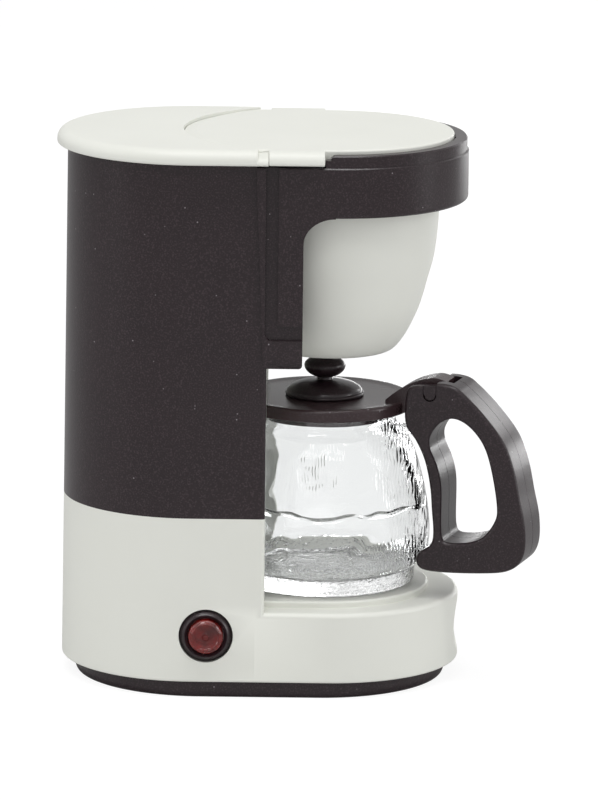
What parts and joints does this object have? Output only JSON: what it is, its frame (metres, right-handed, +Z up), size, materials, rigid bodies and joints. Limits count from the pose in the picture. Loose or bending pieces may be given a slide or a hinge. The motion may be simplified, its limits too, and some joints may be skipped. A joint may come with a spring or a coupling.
{
  "type": "miniature coffee machine",
  "caption": "Miniature drip coffee machine with a hinged top lid, a clear pot with its own hinged lid and handle, and a push button.",
  "frame": {"origin": "on the standing plane, below the centre of the front half round of the base, in the middle of the base plate's flat underside", "axes": "+Z up, the longest extent; +X to the front, where the pot slides out; -Y is the side with the button"},
  "size_m": [0.0529, 0.0301, 0.06],
  "materials": {
    "ivory_plastic": "moulded, fine satin",
    "dark_plastic": "moulded, fine grain",
    "clear_plastic": "clear moulded, glossy with fine ripples",
    "red_lens": "tinted clear, polished",
    "spring_steel": "drawn and plated"
  },
  "bodies": {
    "root": {"base_plate": "dark_plastic", "lower_housing": "ivory_plastic", "column_shell": "dark_plastic", "tank_body": "ivory_plastic", "brew_head": "dark_plastic", "filter_basket": "ivory_plastic", "tank_cover": "ivory_plastic", "button_bezel": "dark_plastic", "button_retainer": "dark_plastic", "button_spring": "spring_steel", "base_screw_1": "spring_steel", "base_screw_2": "spring_steel", "base_screw_3": "spring_steel", "base_screw_4": "spring_steel"},
    "front_lid": {"front_lid": "ivory_plastic"},
    "carafe": {"carafe_glass": "clear_plastic", "handle_near_half": "dark_plastic", "handle_far_half": "dark_plastic", "hinge_pin": "dark_plastic"},
    "carafe_lid": {"carafe_lid": "dark_plastic", "lid_knob": "dark_plastic"},
    "button": {"button_lens": "red_lens"}
  },
  "joints": [
    {"name": "lid_hinge", "type": "hinge", "parent": "root", "child": "front_lid", "pos_m": [-0.0079, 0, 0.0593], "axis": [0, -1, 0], "range_deg": [0, 75]},
    {"name": "carafe_slide", "type": "slide", "parent": "root", "child": "carafe", "axis": [1, 0, 0], "range_m": [0, 0.06]},
    {"name": "carafe_lid_hinge", "type": "hinge", "parent": "carafe", "child": "carafe_lid", "pos_m": [0.01167, -0.00399, 0.0322], "axis": [0.309, 0.9511, 0], "range_deg": [0, 30.1]},
    {"name": "button_press", "type": "slide", "parent": "root", "child": "button", "axis": [0, 1, 0], "range_m": [0, 0.0006], "stiffness_N_per_m": 200, "springref_m": -0.001, "deforming": ["button_spring"]}
  ],
  "couplings": [
    {"joint": "carafe_lid_hinge", "follows": "carafe_slide", "rad_per_m": 8.7266}
  ]
}
